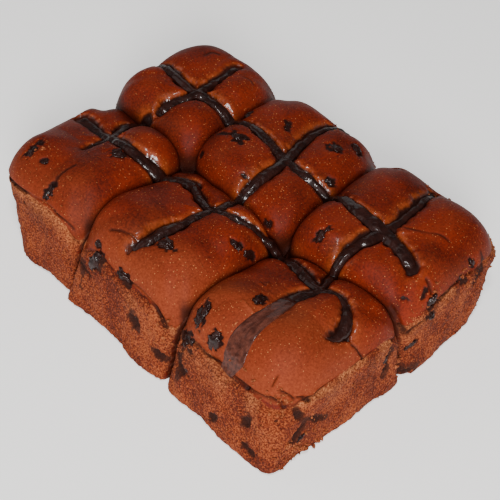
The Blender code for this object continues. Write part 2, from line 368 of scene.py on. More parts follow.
def added(name):
    piece = bpy.context.active_object
    piece.name = name
    piece.data.name = name
    return piece


def read_points(piece):
    flat = np.empty(len(piece.data.vertices) * 3, np.float32)
    piece.data.vertices.foreach_get("co", flat)
    return flat.reshape(-1, 3).astype(float) / MM


def write_points(piece, points):
    piece.data.vertices.foreach_set("co", (points * MM).astype(np.float32).ravel())
    piece.data.update()


def read_normals(piece):
    flat = np.empty(len(piece.data.vertices) * 3, np.float32)
    piece.data.vertices.foreach_get("normal", flat)
    return flat.reshape(-1, 3).astype(float)


def write_attribute(piece, name, values):
    attribute = piece.data.attributes.new(name, "FLOAT", "POINT")
    attribute.data.foreach_set("value", values.astype(np.float32))


def swell(points):
    """Moves points with the dough, which has swelled and sunk unevenly as it baked. The foot stays level."""
    ways = np.stack([clouds(points, SWELLING_SIZE, seed) for seed in (61, 62, 63)], axis=1)
    ways[:, 2] *= smooth(points[:, 2] / 12)
    return points + SWELLING * ways


def surface_tree(piece):
    """For finding the nearest place on a piece, in millimetres."""
    points = [Vector(point) for point in read_points(piece)]
    return BVHTree.FromPolygons(points, [face.vertices[:] for face in piece.data.polygons])


def finish_piece(piece, node_names):
    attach(piece, "root")
    if node_names:
        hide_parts(*node_names)


# --------------------------------------------------------------------------------------------------- materials


def linear(code):
    """A colour's sRGB hex code as linear red, green, blue and alpha."""
    parts = [int(code[k:k + 2], 16) / 255 for k in (1, 3, 5)]
    return tuple(c / 12.92 if c <= 0.04045 else ((c + 0.055) / 1.055) ** 2.4 for c in parts) + (1.0,)


def add_node(tree, kind, inputs=None, stops=None, **settings):
    """Adds a node. Inputs are values to set or sockets to link, and stops are a ramp's places and colours."""
    made = tree.nodes.new(kind)
    for name, value in settings.items():
        setattr(made, name, value)
    for name, value in (inputs or {}).items():
        if isinstance(value, bpy.types.NodeSocket):
            tree.links.new(value, made.inputs[name])
        else:
            made.inputs[name].default_value = value
    if stops:
        ramp = made.color_ramp
        while len(ramp.elements) < len(stops):
            ramp.elements.new(0.5)
        for element, (place, colour) in zip(ramp.elements, stops):
            element.position = place
            element.color = colour
    return made


def new_material(name):
    made = bpy.data.materials.new(name)
    made.use_nodes = True
    shader = made.node_tree.nodes["Principled BSDF"]
    coordinates = add_node(made.node_tree, "ShaderNodeTexCoord").outputs["Object"]
    return made, made.node_tree, shader, coordinates


def grey(value):
    return (value, value, value, 1.0)


def attribute_value(tree, name):
    return add_node(tree, "ShaderNodeAttribute", attribute_name=name).outputs["Fac"]


def blend_colour(tree, share, a, b):
    node = add_node(tree, "ShaderNodeMix", data_type="RGBA")
    for socket, value in ((node.inputs[0], share), (node.inputs[6], a), (node.inputs[7], b)):
        if isinstance(value, bpy.types.NodeSocket):
            tree.links.new(value, socket)
        else:
            socket.default_value = value
    return node.outputs[2]


def maths(tree, operation, *values):
    node = add_node(tree, "ShaderNodeMath", operation=operation, use_clamp=False)
    for socket, value in zip(node.inputs, values):
        if isinstance(value, bpy.types.NodeSocket):
            tree.links.new(value, socket)
        else:
            socket.default_value = value
    return node.outputs[0]


def crust_material(colours):
    """Chocolate dough baked to a thin skin and brushed with syrup: deep red-brown, glossy, finely flecked."""
    made, tree, shader, coordinates = new_material("glazed_chocolate_crust")
    # Browning goes darker and redder in patches about 24 mm across, over a grain of about a millimetre.
    patches = add_node(tree, "ShaderNodeTexNoise", {"Vector": coordinates, "Scale": 1 / 0.024, "Detail": 3.0})
    grain = add_node(tree, "ShaderNodeTexNoise",
                     {"Vector": coordinates, "Scale": 1 / 0.0011, "Detail": 3.0, "Roughness": 0.65})
    tone = maths(tree, "ADD", maths(tree, "MULTIPLY", patches.outputs["Fac"], 0.5),
                 maths(tree, "MULTIPLY", grain.outputs["Fac"], 0.5))
    browned = add_node(tree, "ShaderNodeValToRGB", {"Fac": tone}, stops=(
        (0.34, tuple(colours.crust_dark) + (1,)), (0.62, tuple(colours.crust_light) + (1,))))
    # The skin is stretched thinner and paler towards the torn sides.
    pale = attribute_value(tree, "pale")
    stretched = add_node(tree, "ShaderNodeValToRGB", {"Fac": grain.outputs["Fac"]}, stops=(
        (0.34, linear("#6f2a13")), (0.66, tuple(colours.crust_pale) + (1,))))
    colour = blend_colour(tree, pale, browned.outputs["Color"], stretched.outputs["Color"])
    # Beside the piping, on the slopes that face the front lamp, a warm orange-brown painted highlight is mixed into the
    # colour.
    syrup_and_painted_highlight = attribute_value(tree, "syrup_and_painted_highlight")
    painted_tan_highlight = maths(tree, "MULTIPLY", syrup_and_painted_highlight, maths(tree, "MULTIPLY", grain.outputs["Fac"], 1.0))
    colour = blend_colour(tree, painted_tan_highlight, colour, linear("#97481f"))
    # Flecks of bran show through the skin, scattered unevenly and of uneven size.
    cells = add_node(tree, "ShaderNodeTexVoronoi", {"Vector": coordinates, "Scale": 1 / 0.0014})
    size = maths(tree, "MULTIPLY", cells.outputs["Color"], 0.42)
    size = maths(tree, "MULTIPLY", size, patches.outputs["Fac"])
    flecks = maths(tree, "MULTIPLY", maths(tree, "LESS_THAN", cells.outputs["Distance"], size), 0.75)
    colour = blend_colour(tree, flecks, colour, linear("#c47d4a"))
    # Painted shade darkens the cracks, the groove under the lip and the low joined sides where the buns meet.
    colour = blend_colour(tree, attribute_value(tree, "painted_shade"), colour, linear("#2b0f07"))
    colour = blend_colour(tree, attribute_value(tree, "stain"), colour, linear("#220d09"))
    tree.links.new(colour, shader.inputs["Base Color"])
    # The syrup is thickest beside the piping, where it has wrinkled as it set.
    rough = maths(tree, "SUBTRACT", maths(tree, "ADD", 0.55, maths(tree, "MULTIPLY", pale, 0.12)),
                  maths(tree, "MULTIPLY", syrup_and_painted_highlight, 0.25))
    tree.links.new(rough, shader.inputs["Roughness"])
    wrinkles = add_node(tree, "ShaderNodeTexNoise",
                        {"Vector": coordinates, "Scale": 1 / 0.0019, "Detail": 3.0, "Distortion": 0.6})
    syrup = maths(tree, "MULTIPLY", syrup_and_painted_highlight, maths(tree, "SMOOTH_MIN", patches.outputs["Fac"], 0.9, 0.1))
    tree.links.new(syrup, shader.inputs["Coat Weight"])
    shader.inputs["Coat Roughness"].default_value = 0.14
    relief = maths(tree, "ADD", maths(tree, "MULTIPLY", grain.outputs["Fac"], 0.45),
                   maths(tree, "MULTIPLY", wrinkles.outputs["Fac"], maths(tree, "ADD", 0.15, syrup_and_painted_highlight)))
    bump = add_node(tree, "ShaderNodeBump", {"Height": relief, "Distance": 0.0006, "Strength": 0.6})
    tree.links.new(bump.outputs["Normal"], shader.inputs["Normal"])
    shader.inputs["IOR"].default_value = 1.45
    shader.inputs["Specular IOR Level"].default_value = 0.12
    return made


def crumb_material(colours):
    """Soft bread torn open: matt, open crumb with light and dark grains and dark melted chocolate."""
    made, tree, shader, coordinates = new_material("torn_chocolate_crumb")
    patches = add_node(tree, "ShaderNodeTexNoise", {"Vector": coordinates, "Scale": 1 / 0.014, "Detail": 3.0})
    # Grains of crumb about a millimetre across.
    grains = add_node(tree, "ShaderNodeTexNoise",
                      {"Vector": coordinates, "Scale": 1 / 0.0008, "Detail": 2.0, "Roughness": 0.6})
    tone = maths(tree, "ADD", maths(tree, "MULTIPLY", patches.outputs["Fac"], 0.3),
                 maths(tree, "MULTIPLY", grains.outputs["Fac"], 0.7))
    torn = add_node(tree, "ShaderNodeValToRGB", {"Fac": tone}, stops=(
        (0.38, linear("#43160a")), (0.5, tuple(colours.crumb) + (1,)), (0.6, linear("#994d29"))))
    # Just below the crust the dough has pulled apart in soft pale strands.
    soft = maths(tree, "MULTIPLY", attribute_value(tree, "pale"), 0.75)
    strands = add_node(tree, "ShaderNodeValToRGB", {"Fac": grains.outputs["Fac"]}, stops=(
        (0.38, linear("#7c381b")), (0.62, linear("#c27c4d"))))
    colour = blend_colour(tree, soft, torn.outputs["Color"], strands.outputs["Color"])
    # Painted shade darkens the cracks, the groove under the lip and the low joined sides.
    colour = blend_colour(tree, attribute_value(tree, "painted_shade"), colour, linear("#34140a"))
    colour = blend_colour(tree, attribute_value(tree, "stain"), colour, linear("#32160e"))
    tree.links.new(colour, shader.inputs["Base Color"])
    shader.inputs["Roughness"].default_value = 0.9
    shader.inputs["IOR"].default_value = 1.4
    shader.inputs["Specular IOR Level"].default_value = 0.25
    bump = add_node(tree, "ShaderNodeBump",
                    {"Height": grains.outputs["Fac"], "Distance": 0.0012, "Strength": 0.8})
    tree.links.new(bump.outputs["Normal"], shader.inputs["Normal"])
    return made


def chocolate_material(colours):
    """Dark chocolate, melted in the oven and set again: almost black, with a greasy broken gloss."""
    made, tree, shader, coordinates = new_material("set_dark_chocolate")
    lumps = add_node(tree, "ShaderNodeTexNoise", {"Vector": coordinates, "Scale": 1 / 0.004, "Detail": 4.0})
    tone = add_node(tree, "ShaderNodeValToRGB", {"Fac": lumps.outputs["Fac"]}, stops=(
        (0.35, tuple(colours.chocolate) + (1,)), (0.7, linear("#2c120d"))))
    # Where it is spread thin it dries matt, drawn out in streaks that run from front to back.
    drawn = add_node(tree, "ShaderNodeMapping", {"Vector": coordinates, "Scale": (1.0, 0.15, 1.0)})
    streaks = add_node(tree, "ShaderNodeTexNoise",
                       {"Vector": drawn.outputs["Vector"], "Scale": 1 / 0.0016, "Detail": 3.0})
    spread = add_node(tree, "ShaderNodeValToRGB", {"Fac": streaks.outputs["Fac"]}, stops=(
        (0.35, linear("#3a1a12")), (0.7, linear("#5c3024"))))
    thin = attribute_value(tree, "thin")
    colour = blend_colour(tree, thin, tone.outputs["Color"], spread.outputs["Color"])
    tree.links.new(colour, shader.inputs["Base Color"])
    rough = maths(tree, "ADD", 0.3, maths(tree, "MULTIPLY", lumps.outputs["Fac"], 0.3))
    rough = maths(tree, "ADD", rough, maths(tree, "MULTIPLY", thin, 0.15))
    tree.links.new(rough, shader.inputs["Roughness"])
    ripples = add_node(tree, "ShaderNodeTexNoise", {"Vector": coordinates, "Scale": 1 / 0.0016, "Detail": 2.0})
    relief = maths(tree, "ADD", maths(tree, "MULTIPLY", ripples.outputs["Fac"], 0.8),
                   maths(tree, "MULTIPLY", streaks.outputs["Fac"], thin))
    bump = add_node(tree, "ShaderNodeBump", {"Height": relief, "Distance": 0.001, "Strength": 0.7})
    tree.links.new(bump.outputs["Normal"], shader.inputs["Normal"])
    shader.inputs["IOR"].default_value = 1.5
    shader.inputs["Specular IOR Level"].default_value = 0.12
    shader.inputs["Coat Weight"].default_value = 0.3
    shader.inputs["Coat Roughness"].default_value = 0.1
    return made


# -------------------------------------------------------------------------------------------- chips and creases

# Chocolate chips: the two ends of each, its width, and how much of it stands out of the dough.
CHIPS = (
    ((-42, 45, 45), (-37, 50, 50), 6, 0.5),
    ((-40, 56, 49), (-41, 61, 48), 3, 0.5),
    ((-30, 23, 57), (-18, 24, 57), 7, 0.45),
    ((-34, 20, 54), (-29, 22, 56), 3, 0.4),
    ((-13, 47, 51), (-18, 55, 54), 4, 0.4),
    ((8, 60, 52), (15, 57, 52), 7, 0.45),
    ((12, 72, 48), (22, 69, 47), 5, 0.5),
    ((-36, 8, 46), (-33, 7, 48), 3, 0.4),
    ((-6, 7, 52), (-2, 9, 51), 2, 0.5),
    ((23, 38, 49), (27, 42, 46), 4, 0.6),
    ((51, -1, 50), (54, 9, 57), 5, 0.5),
    ((-61, -32, 53), (-54, -25, 51), 7, 0.5),
    ((22, -2, 48), (27, -1, 44), 4, 0.5),
    ((-90, -62, 48), (-93, -48, 49), 5, 0.45),
    ((-82, -57, 50), (-78, -58, 50), 4, 0.45),
    ((-63, -71, 41), (-65, -63, 49), 5, 0.45),
    ((-25, -72, 38), (-24, -69, 43), 4, 0.6),
    ((-24, -77, 27), (-19, -72, 38), 9, 0.4),
    ((-37, -72, 24), (-23, -79, 23), 3, 0.2),
    ((-5, -73, 38), (5, -74, 36), 5, 0.45),
    ((4, -55, 52), (13, -56, 55), 6, 0.6),
    ((28, -31, 55), (33, -28, 50), 5, 0.5),
    ((33, -28, 50), (36, -23, 44), 4, 0.5),
    ((47, -74, 40), (46, -63, 50), 8, 0.55),
    ((59, -75, 37), (60, -71, 47), 7, 0.55),
    ((62, -52, 49), (62, -45, 51), 6, 0.55),
    ((36, -73, 28), (49, -76, 33), 9, 0.4),
    ((39, -79, 21), (51, -83, 16), 6, 0.2),
    ((7, -79, 22), (15, -80, 19), 7, 0.2),
    ((26, -83, 15), (35, -78, 12), 5, 0.25),
    ((-80, -73, 33), (-75, -74, 30), 3, 0.2),
    ((70, -85, 6), (74, -84, 10), 4, 0.2),
    ((90, -83, 16), (91, -81, 23), 5, 0.2),
    ((91, -85, 8), (101, -86, 5), 5, 0.25),
    ((84, -76, 33.5), (87, -76, 34), 2, 0.3),
    ((107, -68, 29), (110, -63, 22), 5, 0.2),
    ((110, -59, 20), (111, -51, 14), 3, 0.2),
    ((110, -73, 12), (110, -63, 18), 4, 0.2),
    ((106, -62, 32), (108, -58, 31), 2, 0.3),
    ((102, -76, 27), (104, -75, 25), 2, 0.3),
    ((112, -9, 14), (110, -7, 28), 5, 0.3),
    ((109, 58, 27), (106, 65, 37), 8, 0.3),
    ((104, 55, 43), (106, 57, 38), 4, 0.5),
    ((107, 45, 39), (108, 49, 35), 4, 0.5),
    ((109, 20, 31), (110, 27, 29), 5, 0.4),
    ((109, 22, 33), (107, 25, 41), 4, 0.5),
    ((105, 19, 42), (104, 24, 44), 3, 0.5),
    ((100, 9, 44), (102, 12, 44), 3, 0.5),
    ((110, 4, 4), (114, 12, 2), 7, 0.3),
    ((109, 6, 15), (113, 16, 19), 3, 0.2),
    ((41, 72, 50), (46, 74, 49), 3, 0.5),
    # On the sides that face away.
    ((-113, 20, 22), (-113, 28, 27), 6, 0.3),
    ((-113, 61, 14), (-113, 66, 20), 5, 0.25),
    ((-108, -32, 20), (-108, -24, 16), 6, 0.3),
    ((-104, -58, 10), (-103, -62, 17), 5, 0.25),
    ((-88, 83, 24), (-79, 83, 20), 7, 0.3),
    ((-62, 84, 9), (-57, 84, 13), 5, 0.25),
    ((-20, 84, 17), (-16, 84, 28), 6, 0.3),
    ((12, 85, 30), (18, 85, 26), 5, 0.35),
    ((49, 84, 12), (58, 84, 16), 6, 0.3),
    ((88, 83, 26), (91, 82, 18), 6, 0.3),
)

# Cracks and folds: depth, which is negative where the dough stands up in a ridge, width and the points on the way.
CREASES = (
    (1.2, 0.8, ((-21, -65, 49), (-15, -63, 51), (-11, -61, 50), (-7, -61, 50))),
    (1.4, 0.9, ((1, -73, 36), (8, -73, 38), (15, -74, 38), (20, -74, 37), (24, -74, 34), (30, -75, 28))),
    (-1.2, 1.6, ((30, -75, 28), (33, -72, 30), (35, -69, 32))),
    (1.2, 0.9, ((46, -75, 33), (52, -76, 35), (58, -76, 34), (66, -75, 34), (75, -75, 33), (85, -76, 34))),
    (1.4, 0.9, ((85, -76, 34), (91, -75, 34), (97, -72, 33), (102, -70, 31))),
    (1.3, 0.8, ((95, -71, 40), (95, -70, 42), (95, -68, 44))),
    (1.5, 0.9, ((98, -69, 38), (100, -68, 37), (102, -66, 35), (103, -65, 33))),
    (1.3, 0.9, ((95, -73, 34), (99, -71, 33), (101, -70, 32))),
    (1.3, 0.9, ((104, -64, 34), (105, -61, 33), (107, -59, 31))),
    (1.4, 0.8, ((-96, -66, 36), (-84, -71, 38), (-72, -71, 40), (-62, -70, 41), (-55, -70, 40))),
    (0.8, 0.8, ((-55, -70, 40), (-48, -70, 39), (-44, -69, 36))),
    (0.8, 1.3, ((-65, -50, 52), (-66, -55, 51), (-66, -59, 50), (-65, -63, 48), (-64, -66, 46))),
    (1.4, 0.9, ((107, 54, 38), (107, 44, 38), (108, 36, 37), (108, 30, 36), (108, 25, 36))),
    (1.4, 1.0, ((101, 25, 46), (103, 25, 44), (106, 25, 42))),
    (0.9, 0.9, ((109, 24, 31), (109, 19, 31), (109, 13, 29), (108, 8, 25))),
    (1.5, 1.4, ((99, 5, 40), (102, 6, 36), (104, 7, 31), (107, 7, 26))),
    (0.5, 0.9, ((76, 39, 53), (84, 44, 53), (90, 49, 52), (95, 50, 51))),
    (1.2, 0.8, ((102, -29, 42), (105, -27, 40), (107, -26, 37), (108, -25, 35))),
    (-0.7, 0.9, ((56, -35, 50), (58, -39, 50), (61, -40, 50), (64, -39, 49))),
    (-0.6, 0.8, ((54, -38, 51), (57, -39, 50))),
    (-0.6, 0.9, ((59, -55, 52), (62, -55, 51), (64, -55, 50))),
    (-0.7, 1.0, ((43, -63, 49), (49, -63, 50), (51, -67, 49))),
    (0.25, 1.2, ((-86, 59, 55), (-86, 64, 55), (-83, 66, 53))),
    (0.5, 0.9, ((-60, 63, 53), (-57, 65, 53), (-54, 64, 52))),
)

# Where melted chocolate has soaked into the torn crumb: its two ends and how far it has spread.
STAINS = (
    ((-30, -72, 27), (-29, -80, 14), 2.2),
    ((43, -77, 26), (46, -83, 13), 3.2),
    ((9, -80, 24), (14, -80, 18), 4.6),
    ((27, -83, 15), (36, -80, 12), 3.0),
    ((107, -67, 30), (110, -62, 20), 2.3),
    ((110, -60, 21), (112, -50, 14), 2.6),
    ((109, -72, 12), (110, -63, 19), 3.0),
    ((112, -9, 14), (110, -7, 28), 3.6),
    ((95, -85, 8), (99, -86, 6), 3.4),
    ((89, -83, 17), (92, -82, 23), 3.2),
    ((71, -85, 7), (73, -85, 9), 3.0),
    ((-98, -72, 20), (-90, -76, 18), 2.6),
    ((107, 57, 30), (106, 64, 37), 5.0),
    ((110, 4, 4), (113, 12, 3), 5.0),
)


# Where crumbs gather: the middle of each cluster, how far it spreads and how many are in it.
CRUMB_CLUSTERS = (
    ((112, -52, 2), 2.2, 14),
    ((111, -62, 3), 2.5, 18),
    ((111, -70, 5), 3.0, 26),
    ((110, -76, 9), 3.0, 20),
    ((110, -58, 12), 4.0, 14),
    ((104, -72, 31), 3.0, 30),
    ((96, -74, 34), 3.0, 24),
    ((80, -76, 34), 4.0, 14),
    ((107, 24, 40), 4.0, 26),
    ((107, 50, 38), 4.0, 20),
    ((-92, -56, 50), 5.0, 26),
    ((-60, -68, 38), 5.0, 22),
    ((-40, -74, 26), 4.0, 18),
    ((28, -74, 28), 3.5, 18),
    ((110, 2, 10), 3.0, 14),
    ((66, 78, 44), 4.0, 10),
    ((-3, 80, 44), 4.0, 14),
)


def settle(places, tree):
    """The nearest places on a surface, its normals there, and how far away they are at most."""
    found = [tree.find_nearest(Vector(place)) for place in places]
    spots = np.array([hit[0] for hit in found])
    normals = np.array([hit[1] for hit in found])
    return spots, normals, max(hit[3] for hit in found)


def distance_to_strand(points, strand):
    """For each point the distance to a chain of points, up to 12 mm, past which it is left large."""
    nearest = np.full(len(points), 99.0)
    close = np.all((points > strand.min(axis=0) - 12) & (points < strand.max(axis=0) + 12), axis=1)
    near = points[close]
    best = nearest[close]
    for start, end in zip(strand, strand[1:]):
        way = end - start
        share = np.clip((near - start) @ way / max(way @ way, 1e-6), 0, 1)
        best = np.minimum(best, np.linalg.norm(near - start - share[:, None] * way, axis=1))
    nearest[close] = best
    return nearest


def chip_place(chip, tree):
    """A chip's middle, its axes along, across and out of the surface, and how far off the surface it was given."""
    start, end = np.array(chip[0], float), np.array(chip[1], float)
    spots, normals, away = settle([(start + end) / 2], tree)
    out = normals[0]
    along = end - start
    along -= out * (along @ out)
    along /= np.linalg.norm(along)
    return spots[0], along, np.cross(out, along), out, away


# ----------------------------------------------------------------------------------------------------- the buns


def gridded_block():
    """A gridded square with a skirt drawn down from its edge ring by ring and closed by a flat base."""
    deselect_all()
    bpy.ops.mesh.primitive_grid_add(x_subdivisions=TOP_CELLS, y_subdivisions=TOP_CELLS, size=2)
    block = added("bun_blank")
    bpy.ops.object.mode_set(mode="EDIT")
    bpy.ops.mesh.select_mode(type="EDGE")
    bpy.ops.mesh.select_all(action="DESELECT")
    bpy.ops.mesh.select_non_manifold()
    for _ in range(len(LIP_STEPS) + WALL_CELLS):
        bpy.ops.mesh.extrude_region_move(TRANSFORM_OT_translate={"value": (0, 0, -1)})
    bpy.ops.mesh.edge_face_add()
    bpy.ops.mesh.select_all(action="SELECT")
    bpy.ops.mesh.normals_make_consistent(inside=False)
    bpy.ops.object.mode_set(mode="OBJECT")
    bpy.ops.object.shade_smooth()
    return block


def wall_heights(rim):
    """For each ring of the wall below a rim of the given heights: its height, by ring number from 0."""
    lip = [rim - step for step in LIP_STEPS]
    last = lip[-1]
    return [rim] + lip + [last * (1 - (k + 1) / WALL_CELLS) for k in range(WALL_CELLS)]


def shape_bun(piece, bun, sizes):
    """Moves the points of a gridded block to where they lie on a bun."""
    grid = read_points(piece) * MM
    u, v = grid[:, 0], grid[:, 1]
    level = np.rint(-grid[:, 2]).astype(int)
    ring = np.maximum(np.abs(u), np.abs(v))
    out = how_far_out(bun, u, v)
    spread = ring_spread(ring) / np.where(out > 0, out, 1)
    on_u, on_v = u * spread, v * spread
    rim, _, free = rim_shape(bun, u, v)
    spots = plan_spot(bun, on_u, on_v)
    drop, syrup_and_painted_highlight, soaked = furrow(spots, sizes.furrow_depth / MM)
    height = dome_height(bun, on_u, on_v) + puff(on_u, on_v) - drop
    # The wall, ring by ring.
    heights = np.array(wall_heights(height))
    wall = level > 0
    z = np.where(wall, heights[level, np.arange(len(level))], height)
    down = np.where(wall, 1 - z / np.where(height > 0, height, 1), 0.0)
    below = np.where(wall, height - z, 0.0)
    shoulder = sizes.shoulder / MM * smooth(below / 3.0) * (1 - smooth((below - 3.0) / 14.0))
    heel = HEEL * (1 - np.sqrt(1 - np.clip(1 - z / HEEL, 0, 1) ** 2))
    outward = {side: flare * down**0.7 + shoulder - heel for side, flare in bun.flare.items()}
    out_down = how_far_out(bun, u, v, down)
    wall_spots = plan_spot(bun, u / np.where(out_down > 0, out_down, 1), v / np.where(out_down > 0, out_down, 1), outward)
    flat = np.where(wall[:, None], wall_spots, spots)
    points = swell(np.column_stack((flat - ORIGIN, z)))
    over = np.maximum(0.0, points[:, 2] - FULL_HEIGHT)
    points[:, 2] += SOFT_LIMIT * np.tanh(over / SOFT_LIMIT) - over
    write_points(piece, points)
    return {"points": points, "wall": wall, "below": below, "free": free, "out": ring_spread(ring), "syrup_and_painted_highlight": syrup_and_painted_highlight,
            "soaked": soaked}


def marks(piece, form):
    """Carves a bun's cracks and the pits of its chips, and notes where the cracks get painted shade and where it is
    stained.
    """
    points, normals = form["points"], read_normals(piece)
    tree = surface_tree(piece)
    offset, painted_shade, stain = np.zeros(len(points)), np.zeros(len(points)), np.zeros(len(points))
    for depth, width, places in CREASES:
        strand, _, away = settle(smooth_route(places, 1.5), tree)
        if away < 5:
            near = np.exp(-((distance_to_strand(points, strand) / (0.75 * width)) ** 2))
            near *= np.clip(0.85 + 0.4 * clouds(points, 9, 31), 0.2, 1.2)
            offset -= depth * near
            # Cracks, not ridges, are marked for painted shade.
            painted_shade = np.maximum(painted_shade, near if depth > 0 else 0)
    for chip in CHIPS:
        middle, along, across, out, away = chip_place(chip, tree)
        if away < 5:
            half = np.linalg.norm(np.subtract(chip[1], chip[0])) / 2
            local = points - middle
            spread = 0.5 if chip[3] > 0.35 else -0.6
            reach = np.hypot(local @ along / (half + spread), local @ across / (chip[2] / 2 + spread))
            reach += 0.3 * clouds(points, 2.4, 33) + 0.22 * clouds(points, 1.2, 34)
            inside = np.abs(local @ out) < 5
            offset -= min(chip[2] * 0.3, 0.8 if chip[3] > 0.35 else 1.5) * np.exp(-(np.abs(reach) ** 4)) * inside
            stain = np.maximum(stain, (1 - smooth((reach - 0.8) / 0.2)) * inside)
    for start, end, spread in STAINS:
        strand, _, away = settle((start, mix(np.array(start), np.array(end), 0.5), end), tree)
        if away < 5:
            soaked = distance_to_strand(points, strand) / spread + 0.45 * clouds(points, 2.2, 32)
            stain = np.maximum(stain, 0.85 * (1 - smooth((soaked - 0.3) / 0.6)))
    stain = np.maximum(stain, form["soaked"] * ~form["wall"])
    form["painted_shade"], form["stain"] = np.clip(painted_shade, 0, 1), np.clip(stain, 0, 1)
    form["points"] = points + normals * offset[:, None]
    write_points(piece, form["points"])


def relief(piece, form, sizes):
    """Unevenness of a bun: soft on the crust and coarse on the torn walls."""
    points, normals = form["points"], read_normals(piece)
    torn = np.where(form["wall"], smooth(form["below"] / 1.2), 0.0) * smooth(form["free"] * 2)
    crust = 0.5 * clouds(points, 22, 1) + 0.16 * clouds(points, 8, 2)
    tear = 0.7 * clouds(points, 17, 3) + 0.4 * clouds(points, 7, 4) - 0.4 * np.abs(clouds(points, 2.8, 5))
    tear += 0.2 * clouds(points, 1.5, 6) - 0.5
    gap = clouds(points * (1, 1, 0.2), 13, 7)
    # Under the lip of each free wall the crumb is set back in a narrow groove, which is also painted dark as shade.
    crevice = np.exp(-(((form["below"] - 0.6 - 0.4 * clouds(points, 3, 8)) / 0.33) ** 2)) * np.clip(0.3 + 0.9 * gap, 0.05, 0.9) * form["free"] * form["wall"]
    offset = np.where(form["wall"], 0, crust * smooth((1 - form["out"]) * 12)) + sizes.crumb_relief / MM * tear * torn
    offset -= 0.9 * crevice
    form["torn"], form["crevice"] = torn, crevice
    form["points"] = points + normals * offset[:, None]
    write_points(piece, form["points"])


def keep_in_box(points):
    """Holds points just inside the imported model's box."""
    low, high = (np.array(corner) / MM for corner in CAD_BOX)
    return np.clip(points, low + (0.05, 0.05, 0.0), high - 0.05)


def dress_bun(piece, form, materials):
    """Gives a bun its attributes, and its crust, crumb and base their materials."""
    points = form["points"]
    free_edge = smooth((form["out"] - 0.75) / 0.25) * form["free"]
    toward_front = np.maximum(smooth((0.35 * points[:, 0] - points[:, 1] - 42) / 34),
                              0.55 * smooth((-points[:, 1] - 44) / 22))
    pale = 0.2 * free_edge + 0.75 * toward_front + 0.15 * clouds(points, 11, 11)
    below_lip = np.exp(-form["below"] / 5.5) * smooth(0.6 + clouds(points, 9, 13))
    write_attribute(piece, "pale", np.clip(np.where(form["wall"], below_lip, pale), 0, 1))
    # Beside the piping, the syrup coat and the painted highlight are kept to the slopes that face the front lamp, to
    # the front and right.
    facing_front_lamp = smooth(0.1 + read_normals(piece) @ (1.0, -1.0, 0.0)) * (1 - 0.7 * toward_front)
    write_attribute(piece, "syrup_and_painted_highlight", form["syrup_and_painted_highlight"] * facing_front_lamp * ~form["wall"])
    # Painted shade: the joined sides darken low down where the buns meet, and the cracks and the groove under the lip
    # add to it.
    seam = 0.9 * smooth((46 - points[:, 2]) / 9) * (1 - smooth((form["free"] - 0.15) / 0.25))
    write_attribute(piece, "painted_shade", np.clip(np.maximum(seam, form["crevice"] + form["painted_shade"]), 0, 1))
    write_attribute(piece, "stain", form["stain"])
    for made in materials:
        piece.data.materials.append(made)
    face_torn = np.zeros(len(piece.data.polygons), np.int32)
    ragged = form["torn"] + 0.3 * clouds(form["points"], 1.5, 12)
    for face in piece.data.polygons:
        if len(face.vertices) > 4:
            face_torn[face.index] = 2
        else:
            face_torn[face.index] = min(ragged[k] for k in face.vertices) > 0.35
    piece.data.polygons.foreach_set("material_index", face_torn)


def base_material():
    """The baked underside: a dry, dull, evenly browned skin, marked where the dough pulled from the tray."""
    made, tree, shader, coordinates = new_material("baked_base_skin")
    marks = add_node(tree, "ShaderNodeTexNoise", {"Vector": coordinates, "Scale": 1 / 0.009, "Detail": 5.0})
    colour = add_node(tree, "ShaderNodeValToRGB", {"Fac": marks.outputs["Fac"]}, stops=(
        (0.35, linear("#3f150a")), (0.7, linear("#6b2e16"))))
    tree.links.new(colour.outputs["Color"], shader.inputs["Base Color"])
    pores = add_node(tree, "ShaderNodeTexVoronoi", {"Vector": coordinates, "Scale": 1 / 0.0018})
    bump = add_node(tree, "ShaderNodeBump",
                    {"Height": pores.outputs["Distance"], "Distance": 0.0004, "Strength": 0.6})
    tree.links.new(bump.outputs["Normal"], shader.inputs["Normal"])
    shader.inputs["Roughness"].default_value = 0.75
    shader.inputs["IOR"].default_value = 1.45
    return made


class BakeBuns(bpy.types.Operator):
    """Model the six joined buns with their domed crusts and torn walls"""

    bl_idname = "buns.bake_buns"
    bl_label = "Bake buns"

    def execute(self, context):
        sizes, colours = context.scene.bun_sizes, context.scene.bun_colours
        materials = (crust_material(colours), crumb_material(colours), base_material())
        blank = gridded_block()
        for name, bun in BUNS.items():
            piece = blank.copy()
            piece.data = blank.data.copy()
            piece.name = piece.data.name = name.replace("bun_", "baked_bun_")
            context.collection.objects.link(piece)
            form = shape_bun(piece, bun, sizes)
            marks(piece, form)
            relief(piece, form, sizes)
            form["points"] = keep_in_box(form["points"])
            write_points(piece, form["points"])
            dress_bun(piece, form, materials)
            finish_piece(piece, [name])
        bpy.data.objects.remove(blank)
        return {"FINISHED"}


# -------------------------------------------------------------------------------------------------- the piping


def lay_film(points, turn, radius, thickness, tree):
    """Lays the thin parts of a line on the crust, as a film half a millimetre thick that dips in at its edges."""
    share = smooth(4.5 - thickness)
    side = np.sign(np.sin(turn)) * np.sqrt(np.abs(np.sin(turn))) * radius
    for k in np.flatnonzero(share):
        hit = tree.ray_cast(Vector((points[k, 0], points[k, 1], 90.0)), Vector((0, 0, -1)))[0]
        if hit:
            film = hit.z + side[k] - 0.2
            points[k, 2] = mix(points[k, 2], film, share[k])


